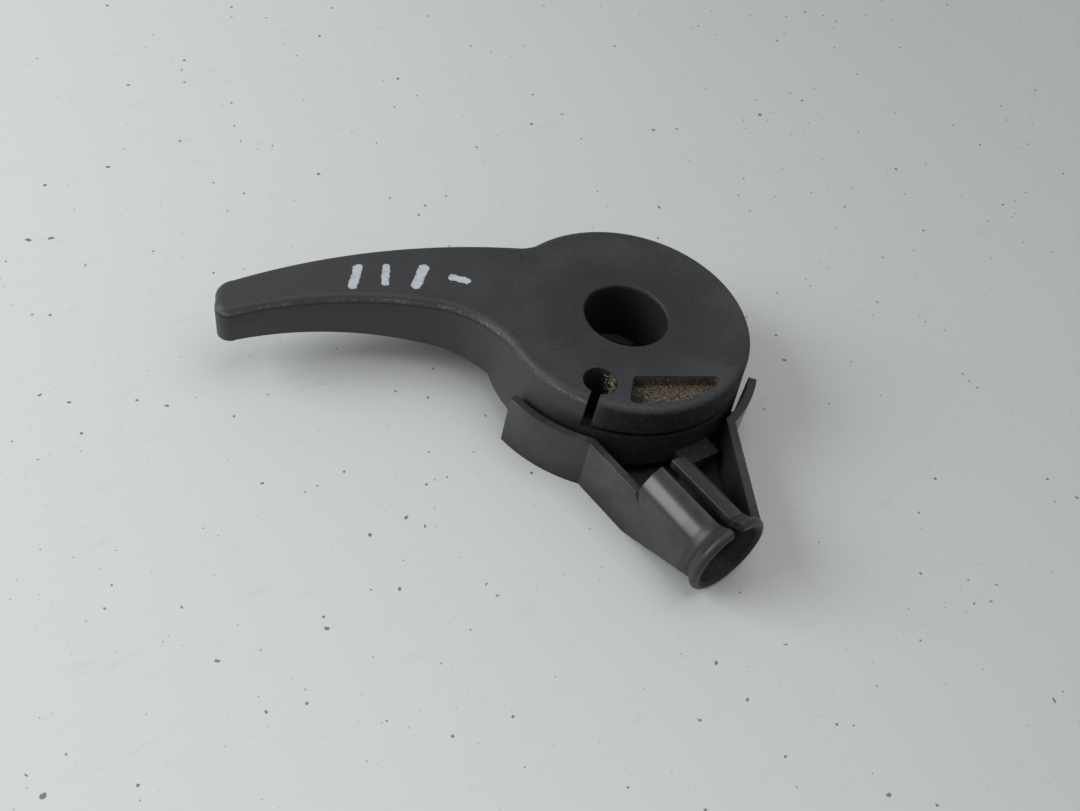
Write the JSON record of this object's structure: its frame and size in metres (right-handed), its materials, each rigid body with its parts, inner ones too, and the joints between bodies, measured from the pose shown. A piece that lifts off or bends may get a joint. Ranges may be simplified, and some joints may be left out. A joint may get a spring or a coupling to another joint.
{
  "type": "hood release handle",
  "caption": "Curved plastic pull lever on a cable drum, clipped to a bracket with a slotted trumpet-mouthed cable funnel.",
  "frame": {"origin": "on the pivot axis, at the underside of the bracket's floor", "axes": "+Z along the pivot, from the bracket up to the lever's top face; the sheathed cable leaves along -Y; the arm reaches towards -X and +Y"},
  "size_m": [0.1109, 0.1116, 0.023],
  "materials": {
    "lever_plastic": "fine-grained satin charcoal, rubbed at the grip edge",
    "bracket_plastic": "smooth satin charcoal"
  },
  "bodies": {
    "bracket": {"cable_bracket": "bracket_plastic"},
    "lever": {"release_lever": "lever_plastic"}
  },
  "joints": [
    {"name": "lever_pull", "type": "hinge", "parent": "bracket", "child": "lever", "pos_m": [0, 0, 0], "axis": [0, 0, -1], "range_deg": [0, 30]}
  ]
}
